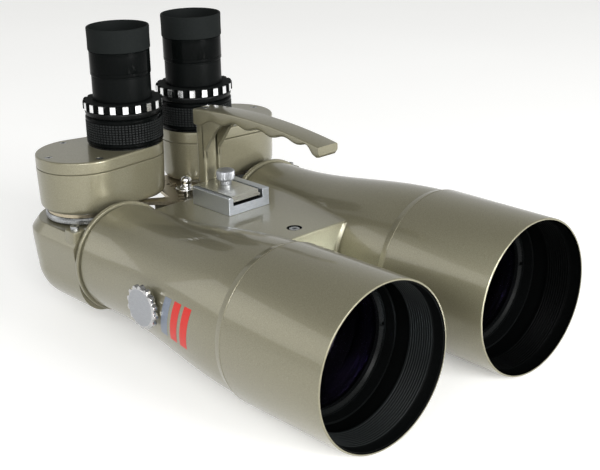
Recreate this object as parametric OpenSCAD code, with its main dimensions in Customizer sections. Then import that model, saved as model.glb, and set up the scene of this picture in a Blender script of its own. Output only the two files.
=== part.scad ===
// Giant 80 mm binoculars with right-angle eyepieces on rotating rhomboid turrets.
// Millimetres. The objectives face -Y, the eyepieces point up +Z, and the user's right is -X.
// The origin is the mouth of the tripod thread, on the underside of the base plate.

/* [Optics] */
// Clear diameter of each objective
aperture = 80; // [70:1:82]
// Distance between the two tube axes
tube_spacing = 133.7; // [132:0.1:136]
// Height of the tube axes above the base plate's underside
axis_height = 51.2; // [51.2:0.1:60]
// Distance from the hood rims back to the tripod thread
thread_from_rim = 175; // [150:1:190]

/* [Dew shields] */
// Outer radius of a dew shield
shield_r = 51.2; // [51:0.1:53]
// Wall of a dew shield
shield_wall = 1.5; // [1:0.1:1.5]
// Length of a dew shield
shield_length = 86.7; // [82:0.1:90]

/* [Barrels] */
// Outer radius of the barrel where the dew shield runs
barrel_front_r = 49.65; // [49.6:0.01:49.67]
// Outer radius of the barrel at its rear seam
barrel_rear_r = 36.8; // [36:0.1:37.5]
// Distance from the hood rim to the rear seam
seam_y = 243; // [240:1:244]
// Wall of the barrel
barrel_wall = 3; // [2.5:0.1:3.5]

/* [Deck] */
// Height of the deck above the tube axes
deck_z = 29.5; // [28:0.1:31]
// Distance from the hood rim to the deck's front edge
deck_front_y = 127; // [125:1:130]
// Distance from the hood rim to the deck's rear edge
deck_rear_y = 239.5; // [238:0.5:239.5]

/* [Turrets] */
// Distance from the hood rim to the turret axes
turret_y = 288; // [286:1:289]
// Radius of the turret's round outer end
turret_r = 32.2; // [32:0.1:33]
// Radius of the turret's eyepiece end
turret_eye_r = 26.5; // [26:0.1:27]
// Distance between a turret axis and its eyepiece axis
rhomboid_offset = 35.17; // [34:0.01:36]
// Angle of the eyepiece ahead of the turret axis at rest
turret_rest_angle = 4.4; // [0:0.1:5]

/* [Eyepieces] */
// Outer radius of the rubber focusing collar
collar_r = 27; // [26:0.1:27.5]
// Outer radius of the notched clamp ring
clamp_r = 28; // [27.5:0.1:28.5]
// Number of bright lands round the clamp ring
clamp_lands = 20; // [16:1:24]
// Radius of the eyepiece's push-fit nosepiece
nosepiece_r = 15.85; // [15.8:0.01:15.87]
// Outer radius of the rubber eyecup at its rim
eyecup_r = 21.7; // [21.2:0.1:22.5]

/* [Handle and shoe] */
// Width of the handle
handle_w = 17; // [15:0.5:18]
// Width of the finder shoe
shoe_w = 36; // [34:1:38]
// Length of the finder shoe
shoe_l = 39.5; // [36:0.5:39.5]

/* [Side knobs] */
// Radius of a side knob
side_knob_r = 14.3; // [13:0.1:15]
// Number of scallops round a side knob
side_knob_scallops = 14; // [10:1:18]

/* [Hidden] */

$fn = 96;
right = -1;
left = 1;
paint = "#8c8770";
black = "#1b1c1e";
bright = "#c9ccd0";
glass_tint = "#6a5f8f";

// A gap between fixed pieces that only touch, and the running clearance of a fit.
seat_gap = 0.05;
running_gap = 0.05;

// Distances from the hood rim along the tube, or heights above the tube axis.
barrel_front_y = 66;
bell_start_y = 80;
bell_end_y = 225;
bell_steps = 14;
cell_front_y = 34;
cell_shoulder_y = 62;
cell_r = 45.5;
lens_r = aperture / 2 + 1;
lens_front_y = 45.2;
lens_curve_r = 250;
ring_end_y = 249;
housing_front_y = ring_end_y;
housing_half = 38;
housing_top_z = 20.5;
housing_bottom_z = -36;
base_top_z = -44;
bearing_top_z = 26;
sector_z = 26.3;
sector_t = 2.5;
turret_bottom_z = 29;
turret_floor_z = 32;
cover_z = 58.5;
turret_top_z = 67;
neck_r = 22;
neck_bottom_z = 17;
collar_z = 68.2;
collar_top_z = 88;
flange_top_z = 92.5;
clamp_top_z = 98.5;
holder_top_z = 98.7;
holder_r = 18;
eyepiece_step_z = 116.3;
eyecup_z = 133.2;
eyecup_top_z = 149.1;
eyepiece_top_z = 136;
side_knob_y = 161;
side_knob_z = 2;
side_knob_face = 44.2;
side_knob_t = 4.2;
stud_r = 4;
gear_teeth = 66;
gear_module = tube_spacing / gear_teeth;
shoe_y = 189.5;
lock_y = 259;
post_y = 230;
bolt_seat_z = 91;
handle_bolt_y = post_y + 1.85;
channel_x = [-14, 12];
plate_z = deck_z + 8.8;
plate_t = 4.6;
screw_y = shoe_y + shoe_l / 2 + 4.75;

// Half the face of each right-angle prism.
elbow_half = 16;

// Screw places: [x, y] from the mid-plane and the rim, or from the turret axis for the covers.
// A stop screw stands in the small boss behind the seam, outside the barrel, at [x, y, seat].
base_screw_places = [for (sx = [-1, 1], y = [deck_front_y + 12, deck_rear_y - 12]) [sx * 22, y]];
front_screw = [-3, 141.5];
shoe_screws = [[0, shoe_y + 6], [0, shoe_y + shoe_l - 6]];
stop_place = [-31, 256, 25];
cover_screw_places = [for (a = [92, 180, 268]) [25.8 * cos(a), 25.8 * sin(a)]];

// --- shared shapes ---

// Moves a shape from the optical frame (rim plane, tube-axis height) to the part's frame.
module in_part() {
  translate([0, -thread_from_rim, axis_height]) children();
}

// Puts a shape drawn about the axis of one barrel in its place.
module at_barrel(side) {
  in_part() translate([side * tube_spacing / 2, 0, 0]) children();
}

// Puts a shape drawn for the right turret, with its eyepiece towards +X, on either side.
module at_turret(side) {
  at_barrel(side) translate([0, turret_y, 0]) mirror([side == left ? 1 : 0, 0, 0]) children();
}

// Puts a shape drawn about the eyepiece axis in its place.
module at_eyepiece(side) {
  at_turret(side) rotate([0, 0, -turret_rest_angle]) translate([rhomboid_offset, 0, 0]) children();
}

// Turns a profile of [radius, distance] about the tube axis.
module turned_y(profile) {
  rotate([-90, 0, 0]) rotate_extrude() polygon(profile);
}

// Turns a profile of [radius, height] about a vertical axis.
module turned_z(profile) {
  rotate_extrude() polygon(profile);
}

// A ring along Y or Z between two radii.
module ring_y(outer, inner, y0, y1) {
  turned_y([[inner, y0], [outer, y0], [outer, y1], [inner, y1]]);
}
module ring_z(outer, inner, z0, z1) {
  turned_z([[inner, z0], [outer, z0], [outer, z1], [inner, z1]]);
}

// A rectangle between two corners with its four corners rounded.
module rounded_rect(low, high, r) {
  difference() {
    translate(low) square(high - low);
    for (sx = [0, 1], sy = [0, 1]) {
      corner = [sx == 0 ? low[0] : high[0], sy == 0 ? low[1] : high[1]];
      centre = corner + [sx == 0 ? r : -r, sy == 0 ? r : -r];
      difference() {
        translate([min(corner[0], centre[0]), min(corner[1], centre[1])]) square(r);
        translate(centre) circle(r);
      }
    }
  }
}

// The outline of a turret: two round ends joined by their common tangents.
module turret_outline(r_big, r_small) {
  tilt = asin((r_big - r_small) / rhomboid_offset);
  inset = 0.02;
  function tangent(r, x, sign) = [x + (r - inset) * sin(tilt), sign * (r - inset) * cos(tilt)];
  circle(r_big);
  translate([rhomboid_offset, 0]) circle(r_small);
  polygon([tangent(r_big, 0, -1), tangent(r_small, rhomboid_offset, -1),
           tangent(r_small, rhomboid_offset, 1), tangent(r_big, 0, 1)]);
}

// A socket-head screw standing on the XY plane, its thread going down.
module socket_screw(head_r, head_h, thread_r, thread_l) {
  difference() {
    union() {
      cylinder(h = head_h, r = head_r);
      translate([0, 0, -thread_l]) cylinder(h = thread_l + 0.01, r = thread_r);
    }
    translate([0, 0, head_h * 0.4]) cylinder(h = head_h, r = head_r * 0.5, $fn = 6);
  }
}

// Outer radius of the bell-shaped barrel at a distance from the rim.
function bell_r(y) = let(t = min(max((y - bell_start_y) / (bell_end_y - bell_start_y), 0), 1))
  barrel_rear_r + (barrel_front_r - barrel_rear_r) * (1 + cos(180 * t)) / 2;

function bell_points(inset) = [
  for (i = [0 : bell_steps])
    let(y = bell_start_y + (bell_end_y - bell_start_y) * i / bell_steps) [bell_r(y) - inset, y]
];

// A spherical lens face from the axis out to radius r: sag is positive when it bulges to +Y.
function lens_face(y_edge, r, curve_r, sign) = [
  for (i = [0 : 8]) let(x = r * i / 8)
    [x, y_edge + sign * (sqrt(curve_r * curve_r - x * x) - sqrt(curve_r * curve_r - r * r))]
];
function reversed(list) = [for (i = [len(list) - 1 : -1 : 0]) list[i]];

// --- chassis ---

module barrel_outside() {
  turned_y(concat([[0, barrel_front_y], [barrel_front_r, barrel_front_y]], bell_points(0),
                  [[barrel_rear_r, seam_y], [0, seam_y]]));
}

module barrel_inside() {
  cell_spigot = 46;
  turned_y(concat([[0, barrel_front_y - 1], [cell_spigot, barrel_front_y - 1], [cell_spigot, 78]],
                  [for (p = bell_points(barrel_wall)) if (p[1] > 84) p],
                  [[barrel_rear_r - barrel_wall, seam_y + 1], [0, seam_y + 1]]));
}

module barrel(side) {
  color(paint) at_barrel(side) difference() {
    union() {
      difference() {
        barrel_outside();
        barrel_inside();
      }
      translate([0, side_knob_y, side_knob_z]) rotate([0, side * 90, 0])
        translate([0, 0, 36.5]) cylinder(h = side_knob_face - 0.2 - 36.5, r = 9);
    }
    translate([0, side_knob_y, side_knob_z]) rotate([0, side * 90, 0])
      translate([0, 0, 30]) cylinder(h = 20, r = stud_r + running_gap);
  }
}

// The deck runs out to the barrels. Its upper edges are wide where the barrels are narrow.
module deck_casting() {
  box_half = 34;
  wall = 5;
  bridge_half = 24;
  shoulder = [[30, deck_front_y], [34, 145], [38, 160], [41, 180], [41, 235], [30, 235]];
  color(paint) difference() {
    in_part() difference() {
      union() {
        difference() {
          translate([-box_half, deck_front_y, base_top_z])
            cube([2 * box_half, deck_rear_y - deck_front_y, deck_z - base_top_z]);
          translate([-box_half + wall, deck_front_y + wall, base_top_z - 1])
            cube([2 * (box_half - wall), deck_rear_y - deck_front_y - 2 * wall,
                  deck_z - base_top_z - wall + 1]);
        }
        for (side = [0, 1]) mirror([side, 0, 0]) translate([0, 0, 14])
          linear_extrude(deck_z - 14) polygon(shoulder);
        for (p = base_screw_places) translate([p[0], p[1], base_top_z])
          cylinder(h = deck_z - base_top_z - 1, r = 6);
        translate([0, 0, 12]) linear_extrude(12)
          rounded_rect([-bridge_half, deck_rear_y - wall], [bridge_half, 270], 4);
      }
      for (side = [right, left]) translate([side * tube_spacing / 2, 0, 0]) barrel_outside();
      translate([0, lock_y, 11]) cylinder(h = 14, r = 2.55);
      for (p = base_screw_places) translate([p[0], p[1], base_top_z - 1]) cylinder(h = 11, r = 2.25);
    }
    in_part() deck_screw_holes();
  }
}

// Holes for the front deck screw, the two shoe screws and the handle bolt.
module deck_screw_holes() {
  translate([front_screw[0], front_screw[1], deck_z - 3]) cylinder(h = 4, r = 3.6);
  for (p = concat([front_screw], shoe_screws))
    translate([p[0], p[1], deck_z - 6]) cylinder(h = 7, r = 2.05);
  translate([0, handle_bolt_y, deck_z - 6]) cylinder(h = 7, r = 2.05);
}

module base_plate() {
  plate_half = 32;
  color(paint) in_part() difference() {
    union() {
      translate([0, 0, -axis_height]) linear_extrude(axis_height + base_top_z)
        rounded_rect([-plate_half, deck_front_y + 2], [plate_half, deck_rear_y - 2], 8);
      translate([0, thread_from_rim, base_top_z - 0.01]) cylinder(h = 9, r = 12);
    }
    translate([0, thread_from_rim, -axis_height - 0.01]) cylinder(h = 14.01, r = 3.97);
    for (p = base_screw_places) {
      translate([p[0], p[1], -axis_height - 0.01]) cylinder(h = 4, r = 4.3);
      translate([p[0], p[1], -axis_height]) cylinder(h = 10, r = 2.3);
    }
  }
}

// The handle's side outline: a shallow arch above, four finger waves below.
module handle_outline() {
  front = 112;
  rear = 236;
  steps = 40;
  function top_z(y) = 97 - 6.2 * pow(abs(y - 186) / 74, 2);
  function under_z(y) = 89.9 + 1.3 * cos(360 * (y - 120) / 24.5) - 5.5 * pow(max(y - 180, 0) / 50, 2)
    - 6.5 * pow(max(124 - y, 0) / 12, 2);
  polygon(concat(
    [for (i = [0 : steps]) let(y = front + (rear - front) * i / steps) [y, top_z(y)]],
    [for (i = [steps : -1 : 0]) let(y = front + (rear - front) * i / steps) [y, under_z(y)]]));
}

module handle() {
  post_half = 7.5;
  rib = 3;
  color(paint) in_part() difference() {
    union() {
      translate([-handle_w / 2, 0, 0]) rotate([90, 0, 90]) linear_extrude(handle_w) handle_outline();
      translate([-post_half, post_y - 0.5, deck_z]) cube([2 * post_half, 5.5, 60]);
      for (x = [-post_half, post_half - rib]) translate([x, 0, 0]) rotate([90, 0, 90])
        linear_extrude(rib)
          polygon([[post_y, deck_z], [post_y + 1, 90], [208, 90], [208, 86], [post_y - 3.5, 68],
                   [post_y - 3.5, deck_z + 16], [post_y - 0.5, deck_z + 14]]);
    }
    translate([0, handle_bolt_y, deck_z - 1]) cylinder(h = 80, r = 2.05);
    translate([0, handle_bolt_y, bolt_seat_z]) cylinder(h = 20, r = 4.1);
  }
}

module assembly_screws() {
  color("#8f9296") in_part() {
    translate([front_screw[0], front_screw[1], deck_z - 3]) socket_screw(3.5, 2.6, 2, 2.8);
    for (p = shoe_screws) translate([p[0], p[1], deck_z + 3.2]) socket_screw(3.5, 2.6, 2, 8.5);
    translate([0, handle_bolt_y, bolt_seat_z]) socket_screw(4, 3, 2, 66);
    for (p = base_screw_places)
      translate([p[0], p[1], -axis_height + 3.9]) mirror([0, 0, 1]) socket_screw(4, 3, 2.2, 11);
  }
  color("#8f9296") for (side = [right, left]) at_barrel(side) mirror([side == left ? 1 : 0, 0, 0])
    translate(stop_place) socket_screw(3, 2.4, 1.6, 8);
}

module finder_shoe() {
  floor_z = deck_z + 6.5;
  top_z = deck_z + 12.5;
  color(bright) in_part() difference() {
    translate([-shoe_w / 2, shoe_y, deck_z]) cube([shoe_w, shoe_l, top_z - deck_z]);
    translate([channel_x[0], shoe_y - 1, floor_z])
      cube([channel_x[1] - channel_x[0], shoe_l + 2, 20]);
    for (p = shoe_screws) {
      translate([p[0], p[1], deck_z - 1]) cylinder(h = 20, r = 2.1);
      translate([p[0], p[1], deck_z + 3]) cylinder(h = 20, r = 3.7);
    }
    translate([0, screw_y, deck_z + 1]) cylinder(h = 20, r = 2.3);
  }
}

module shoe_clamp_plate() {
  color("#dfe1e2") in_part() difference() {
    translate([channel_x[0] + 0.4, shoe_y, plate_z]) cube([23.6, shoe_l, plate_t]);
    translate([0, screw_y, plate_z - 1]) cylinder(h = 10, r = 2.35);
    for (p = shoe_screws) translate([p[0], p[1], plate_z - 1]) cylinder(h = 10, r = 2.2);
  }
}

module shoe_thumbscrew() {
  head_r = 6.4;
  head_z = 46.2;
  seat_z = plate_z + plate_t + seat_gap;
  color(bright) in_part() translate([0, screw_y, 0]) difference() {
    turned_z([[0, deck_z + 3.2], [2.25, deck_z + 3.2], [2.25, seat_z], [4, seat_z], [4, head_z],
              [head_r - 0.8, head_z], [head_r, head_z + 0.8], [head_r, head_z + 6.6],
              [head_r - 0.8, head_z + 7.4], [0, head_z + 7.4]]);
    for (i = [0 : 17]) rotate([0, 0, i * 20])
      translate([head_r + 0.55, 0, head_z - 1]) cylinder(h = 10, r = 1, $fn = 16);
  }
}

module ipd_lock_knob() {
  washer_z = sector_z + sector_t + 0.35;
  dome_z = washer_z + 6;
  color(bright) in_part() translate([0, lock_y, 0]) difference() {
    rotate_extrude() {
      translate([0, 14]) square([2.5, washer_z - 13]);
      translate([0, washer_z]) square([8, 1.4]);
      translate([0, washer_z + 1]) square([4, dome_z - washer_z - 1]);
      translate([0, dome_z]) intersection() {
        circle(4);
        square(5);
      }
    }
    for (a = [0 : 45 : 315]) rotate([0, 0, a]) translate([4.6, 0, washer_z + 1.4])
      cylinder(h = 3.4, r = 0.9, $fn = 16);
  }
}

// --- one side of the chassis ---

module rear_housing(side) {
  top = housing_top_z;
  back_y = 290;
  corner = 24;
  color(paint) at_barrel(side) difference() {
    union() {
      intersection() {
        translate([0, 0, housing_bottom_z]) linear_extrude(top - housing_bottom_z) {
          translate([-housing_half, housing_front_y])
            square([2 * housing_half, back_y - housing_front_y]);
          translate([0, back_y]) circle(housing_half);
        }
        translate([-housing_half - 1, 0, 0]) rotate([90, 0, 90])
          linear_extrude(2 * housing_half + 2)
            difference() {
              rounded_rect([housing_front_y - 40, housing_bottom_z],
                           [back_y + housing_half, top + 40], 26);
              translate([housing_front_y - 41, -60]) square([41, 120]);
            }
        rotate([-90, 0, 0]) linear_extrude(400)
          rounded_rect([-housing_half, -top - 40], [housing_half, -housing_bottom_z], corner);
      }
      mirror([side == left ? 1 : 0, 0, 0])
        translate([stop_place[0] - 5, stop_place[1] - 6.5, 12]) cube([10, 12, stop_place[2] - 12]);
      translate([0, turret_y, top - 0.01]) cylinder(h = 1.2, r = 31);
    }
    translate([-24, housing_front_y + 6, -28]) cube([48, 59, 40]);
    translate([0, turret_y, 0]) cylinder(h = 30, r = 24);
    turned_y([[0, housing_front_y - 1], [27, housing_front_y - 1], [27, housing_front_y + 8],
              [0, housing_front_y + 8]]);
    mirror([side == left ? 1 : 0, 0, 0])
      translate([stop_place[0], stop_place[1], stop_place[2] - 9]) cylinder(h = 10, r = 1.65);
  }
}

module flange_ring(side) {
  outer = 38.4;
  inner = 33;
  roll = 1.9;
  color(paint) at_barrel(side) rotate([-90, 0, 0]) rotate_extrude() {
    translate([inner, seam_y]) square([outer - roll - inner, ring_end_y - seam_y]);
    translate([outer - roll, seam_y + roll]) circle(roll, $fn = 32);
    translate([outer - roll, ring_end_y - roll]) circle(roll * 0.8, $fn = 32);
    translate([inner + 1, seam_y + 1]) square([outer - roll - inner, ring_end_y - seam_y - 2]);
  }
}

// The right-angle prism turns the light from +Y to +Z.
module elbow_prism(side) {
  color(glass_tint) at_barrel(side) translate([-elbow_half, turret_y, 0]) rotate([90, 0, 90])
    linear_extrude(2 * elbow_half)
      polygon([[-elbow_half, -elbow_half], [elbow_half, elbow_half], [-elbow_half, elbow_half]]);
}

// The cradle is the sloping plate behind the prism, with two cheeks that hold it.
module prism_cradle(side) {
  half = 23.95;
  cheek = 2.5;
  gap = 0.1;
  slab = 4.6;
  low = -elbow_half;
  high = 11.5;
  cheek_x = elbow_half + gap;
  color("#3a3a3c") at_barrel(side) translate([0, turret_y, 0]) {
    translate([-half, 0, 0]) rotate([90, 0, 90]) linear_extrude(2 * half)
      polygon([[low, low - gap], [low + 3, low + 3 - gap - slab], [high, high - gap - slab],
               [high, high - gap]]);
    for (x = [-cheek_x - cheek, cheek_x]) translate([x, 0, 0]) rotate([90, 0, 90])
      linear_extrude(cheek) polygon([[-10, -12], [10, 8], [-10, 10]]);
  }
}

module bearing_ring(side) {
  inner = neck_r + running_gap;
  color(bright) at_turret(side)
    turned_z([[inner, housing_top_z + 1.2], [27.6, housing_top_z + 1.2], [28.4, housing_top_z + 2],
              [28.4, bearing_top_z - 1.2], [27.4, bearing_top_z], [inner, bearing_top_z]]);
}

module lens_cell(side) {
  spigot_r = 45.95;
  color(black) at_barrel(side)
    turned_y([[44, cell_front_y], [cell_r, cell_front_y], [cell_r, cell_shoulder_y],
              [49, cell_shoulder_y], [49, barrel_front_y], [spigot_r, barrel_front_y],
              [spigot_r, 76], [40.5, 76], [38.6, 64], [38.6, 59.5], [lens_r + seat_gap, 59.5],
              [lens_r + seat_gap, 45], [42.6, 45], [42.6, 40.5], [43.2, 40.5], [43.6, 37]]);
}

module retaining_ring(side) {
  color(black) at_barrel(side) difference() {
    turned_y([[39.8, 42.4], [41.4, 41], [42.55, 41], [42.55, 44.95], [39.8, 44.95]]);
    for (a = [0, 180]) rotate([0, a, 0]) translate([40, 40, -1.2]) cube([4, 3, 2.4]);
  }
}

module objective_elements(side) {
  crown_edge = 3.4;
  air = 0.4;
  flint_back = 57.5;
  color(glass_tint, 0.6) at_barrel(side) {
    turned_y(concat(lens_face(lens_front_y, lens_r, lens_curve_r, -1),
                    reversed(lens_face(lens_front_y + crown_edge, lens_r, lens_curve_r, 1))));
    turned_y(concat(lens_face(lens_front_y + crown_edge + air, lens_r, lens_curve_r, 1),
                    [[lens_r, flint_back], [0, flint_back]]));
  }
}

module tube_baffles(side) {
  color(black) at_barrel(side) for (p = [[112, 33], [150, 28], [195, 22]])
    ring_y(bell_r(p[0] + 1.5) - barrel_wall - 0.15, p[1], p[0], p[0] + 1.2);
}

// --- dew shields ---

module dew_shield(side) {
  inner = shield_r - shield_wall;
  color(paint) at_barrel(side)
    turned_y([[inner + 0.6, 0], [shield_r - 0.6, 0], [shield_r, 0.8], [shield_r, shield_length - 5.5],
              [shield_r - 1, shield_length], [inner, shield_length], [inner, 0.6]]);
}

module ridged_baffle(side) {
  outer = shield_r - shield_wall - seat_gap;
  front = 8;
  back = 24;
  ridges = 9;
  pitch = (back - front) / ridges;
  function wall_r(y) = outer - 0.8 - 2.4 * (y - front) / (back - front);
  color(black) at_barrel(side)
    turned_y(concat([[outer, front], [outer, back]],
      [for (i = [ridges - 1 : -1 : 0]) each [
        [wall_r(front + (i + 1) * pitch), front + (i + 1) * pitch],
        [wall_r(front + i * pitch) - 0.5, front + (i + 0.15) * pitch]]],
      [[outer - 0.6, front]]));
}

// --- turrets ---

module turret(side) {
  wall = 3;
  color(paint) at_turret(side) difference() {
    union() {
      rotate([0, 0, -turret_rest_angle]) translate([0, 0, turret_bottom_z])
        linear_extrude(cover_z - turret_bottom_z) turret_outline(turret_r, turret_eye_r);
      ring_z(neck_r, 19, neck_bottom_z, turret_bottom_z + 0.01);
    }
    rotate([0, 0, -turret_rest_angle]) difference() {
      translate([0, 0, turret_floor_z])
        linear_extrude(40) turret_outline(turret_r - wall, turret_eye_r - wall);
      for (p = cover_screw_places) translate([p[0], p[1], 0]) difference() {
        cylinder(h = cover_z, r = 3.6);
        translate([0, 0, cover_z - 8]) cylinder(h = 9, r = 1.55);
      }
    }
    translate([0, 0, 10]) cylinder(h = 40, r = 19);
  }
}

module turret_cover(side) {
  color(paint) at_turret(side) rotate([0, 0, -turret_rest_angle]) difference() {
    union() {
      translate([0, 0, cover_z]) linear_extrude(turret_top_z - cover_z)
        turret_outline(turret_r, turret_eye_r);
      translate([0, 0, cover_z - 1.2]) linear_extrude(1.3) difference() {
        turret_outline(turret_r - 3.1, turret_eye_r - 3.1);
        turret_outline(turret_r - 5, turret_eye_r - 5);
      }
    }
    translate([rhomboid_offset, 0, cover_z - 5]) cylinder(h = 20, r = 20);
    for (p = cover_screw_places) {
      translate([p[0], p[1], cover_z - 2]) cylinder(h = 20, r = 1.6);
      translate([p[0], p[1], cover_z - 2]) cylinder(h = 2, r = 3.7);
      translate([p[0], p[1], turret_top_z - 2.2]) cylinder(h = 20, r = 2.8);
    }
  }
}

module cover_screws(side) {
  color("#55565a") at_turret(side) rotate([0, 0, -turret_rest_angle]) for (p = cover_screw_places)
    translate([p[0], p[1], turret_top_z - 2.1]) socket_screw(2.7, 2, 1.5, 12);
}

module rhomboid_prism(side) {
  half = 12.5;
  z = turret_floor_z + 0.3;
  color(glass_tint) at_turret(side) rotate([0, 0, -turret_rest_angle])
    translate([0, half, 0]) rotate([90, 0, 0]) linear_extrude(2 * half)
      polygon([[-half, z], [rhomboid_offset - half, z], [rhomboid_offset + half, z + 2 * half],
               [half, z + 2 * half]]);
}

// A toothed sector under each turret. The two sectors mesh on the mid-plane, so that the
// turrets always turn by the same angle in opposite directions.
function tooth(i, offset) = let(
    pitch_r = tube_spacing / 2, step = 360 / gear_teeth, a = (i + offset) * step,
    root_r = pitch_r - 1.2 * gear_module, tip_r = pitch_r + 0.9 * gear_module,
    root_half = step * 0.36, tip_half = step * 0.135)
  [for (p = [[root_r, -root_half], [tip_r, -tip_half], [tip_r, tip_half], [root_r, root_half]])
    [p[0] * cos(a + p[1]), p[0] * sin(a + p[1])]];

module ipd_sector(side) {
  first = -8;
  last = 1;
  offset = side == right ? 0 : 0.5;
  window_r = 58;
  window_a = -35;
  hub_r = 27;
  color("#a9a294") at_turret(side) translate([0, 0, sector_z]) linear_extrude(sector_t)
    difference() {
      union() {
        polygon(concat([[0, 0]], [for (i = [first : last]) each tooth(i, offset)]));
        circle(hub_r);
      }
      circle(neck_r + seat_gap);
      difference() {
        polygon([[0, 0], [window_r * cos(window_a), window_r * sin(window_a)], [window_r, 0]]);
        circle(hub_r + 6);
      }
    }
}

// --- focusers and eyepieces, drawn about the eyepiece axis ---

module focuser_base(side) {
  bore = holder_r + running_gap;
  color(black) at_eyepiece(side)
    turned_z([[bore, 61], [19.9, 61], [19.9, turret_top_z], [26.2, turret_top_z],
              [26.2, turret_top_z + 0.9], [21, turret_top_z + 0.9], [21, collar_top_z - 0.5],
              [bore, collar_top_z - 0.5]]);
}

module focus_collar(side) {
  inner = 21 + running_gap;
  color(black) at_eyepiece(side)
    turned_z([[inner, collar_z], [collar_r - 1, collar_z], [collar_r, collar_z + 1],
              [collar_r, collar_top_z - 1], [collar_r - 1, collar_top_z], [inner, collar_top_z]]);
}

module drawtube(side) {
  bore = nosepiece_r + running_gap;
  color(black) at_eyepiece(side)
    turned_z([[bore, 63], [holder_r, 63], [holder_r, collar_top_z + 0.3], [26, collar_top_z + 0.3],
              [clamp_r - 1, flange_top_z - 1], [clamp_r - 1, flange_top_z], [19, flange_top_z],
              [19, holder_top_z], [bore, holder_top_z]]);
}

module clamp_ring(side) {
  inner = 19 + running_gap;
  z0 = flange_top_z + 0.1;
  notch_r = 2.3;
  color(bright) at_eyepiece(side) difference() {
    turned_z([[inner, z0], [clamp_r, z0], [clamp_r, clamp_top_z - 1.2], [clamp_r - 2, clamp_top_z],
              [inner, clamp_top_z]]);
    for (i = [0 : clamp_lands - 1]) rotate([0, 0, i * 360 / clamp_lands])
      translate([clamp_r + 0.6, 0, z0 - 1]) cylinder(h = 10, r = notch_r, $fn = 24);
  }
}

module eyepiece(side) {
  barrel_r = 20.5;
  upper_r = 21.1;
  spigot_r = 19.8;
  color(black) at_eyepiece(side)
    turned_z([[13.3, 72], [nosepiece_r, 72], [nosepiece_r, holder_top_z], [barrel_r, holder_top_z],
              [barrel_r, eyepiece_step_z - 0.5], [upper_r, eyepiece_step_z], [upper_r, eyecup_z - 0.05],
              [spigot_r, eyecup_z - 0.05], [spigot_r, eyepiece_top_z], [14.3, eyepiece_top_z],
              [14.3, 127], [13.3, 127]]);
}

module eyecup(side) {
  inner = 19.85;
  color("#242526") at_eyepiece(side)
    turned_z([[inner, eyecup_z], [eyecup_r - 0.3, eyecup_z], [eyecup_r, eyecup_top_z - 0.6],
              [eyecup_r - 0.6, eyecup_top_z], [eyecup_r - 1.4, eyecup_top_z],
              [inner, eyepiece_top_z + 1]]);
}

module eyepiece_lenses(side) {
  color(glass_tint, 0.6) at_eyepiece(side) {
    rotate_extrude() translate([0, 128]) difference() {
      square([14.2, 6]);
      translate([0, 4.6 + 60]) circle(60);
    }
    ring_z(13.2, 0, 80, 85);
  }
}

// --- side knobs ---

module side_knob(side) {
  scallop_r = 2.1;
  color(bright) at_barrel(side) translate([0, side_knob_y, side_knob_z]) rotate([0, side * 90, 0])
    translate([0, 0, side_knob_face]) difference() {
      turned_z([[stud_r + running_gap, 0], [side_knob_r, 0], [side_knob_r, side_knob_t - 0.6],
                [side_knob_r - 0.6, side_knob_t], [0, side_knob_t], [0, side_knob_t - 1.2],
                [stud_r + running_gap, side_knob_t - 1.2]]);
      for (i = [0 : side_knob_scallops - 1]) rotate([0, 0, i * 360 / side_knob_scallops])
        translate([side_knob_r + 1, 0, -1]) cylinder(h = 10, r = scallop_r, $fn = 24);
    }
}

module knob_stud(side) {
  color("#8f9296") at_barrel(side) translate([0, side_knob_y, side_knob_z]) rotate([0, side * 90, 0])
    translate([0, 0, 31.5]) cylinder(h = side_knob_face + side_knob_t - 1.3 - 31.5, r = stud_r);
}

// --- nodes ---

deck_casting();
barrel(right);  // right_barrel
barrel(left);  // left_barrel
base_plate();
handle();
assembly_screws();
finder_shoe();
shoe_clamp_plate();
shoe_thumbscrew();
ipd_lock_knob();
rear_housing(right);  // right_rear_housing
flange_ring(right);  // right_flange_ring
elbow_prism(right);  // right_elbow_prism
prism_cradle(right);  // right_prism_cradle
bearing_ring(right);  // right_bearing_ring
lens_cell(right);  // right_lens_cell
retaining_ring(right);  // right_retaining_ring
objective_elements(right);  // right_objective_elements
tube_baffles(right);  // right_tube_baffles
dew_shield(right);  // right_dew_shield
ridged_baffle(right);  // right_ridged_baffle
turret(right);  // right_turret
turret_cover(right);  // right_turret_cover
cover_screws(right);  // right_cover_screws
rhomboid_prism(right);  // right_rhomboid_prism
ipd_sector(right);  // right_ipd_sector
focuser_base(right);  // right_focuser_base
focus_collar(right);  // right_focus_collar
drawtube(right);  // right_drawtube
clamp_ring(right);  // right_clamp_ring
eyepiece(right);  // right_eyepiece
eyecup(right);  // right_eyecup
eyepiece_lenses(right);  // right_eyepiece_lenses
side_knob(right);  // right_side_knob
knob_stud(right);  // right_knob_stud
rear_housing(left);  // left_rear_housing
flange_ring(left);  // left_flange_ring
elbow_prism(left);  // left_elbow_prism
prism_cradle(left);  // left_prism_cradle
bearing_ring(left);  // left_bearing_ring
lens_cell(left);  // left_lens_cell
retaining_ring(left);  // left_retaining_ring
objective_elements(left);  // left_objective_elements
tube_baffles(left);  // left_tube_baffles
dew_shield(left);  // left_dew_shield
ridged_baffle(left);  // left_ridged_baffle
turret(left);  // left_turret
turret_cover(left);  // left_turret_cover
cover_screws(left);  // left_cover_screws
rhomboid_prism(left);  // left_rhomboid_prism
ipd_sector(left);  // left_ipd_sector
focuser_base(left);  // left_focuser_base
focus_collar(left);  // left_focus_collar
drawtube(left);  // left_drawtube
clamp_ring(left);  // left_clamp_ring
eyepiece(left);  // left_eyepiece
eyecup(left);  // left_eyecup
eyepiece_lenses(left);  // left_eyepiece_lenses
side_knob(left);  // left_side_knob
knob_stud(left);  // left_knob_stud
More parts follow.
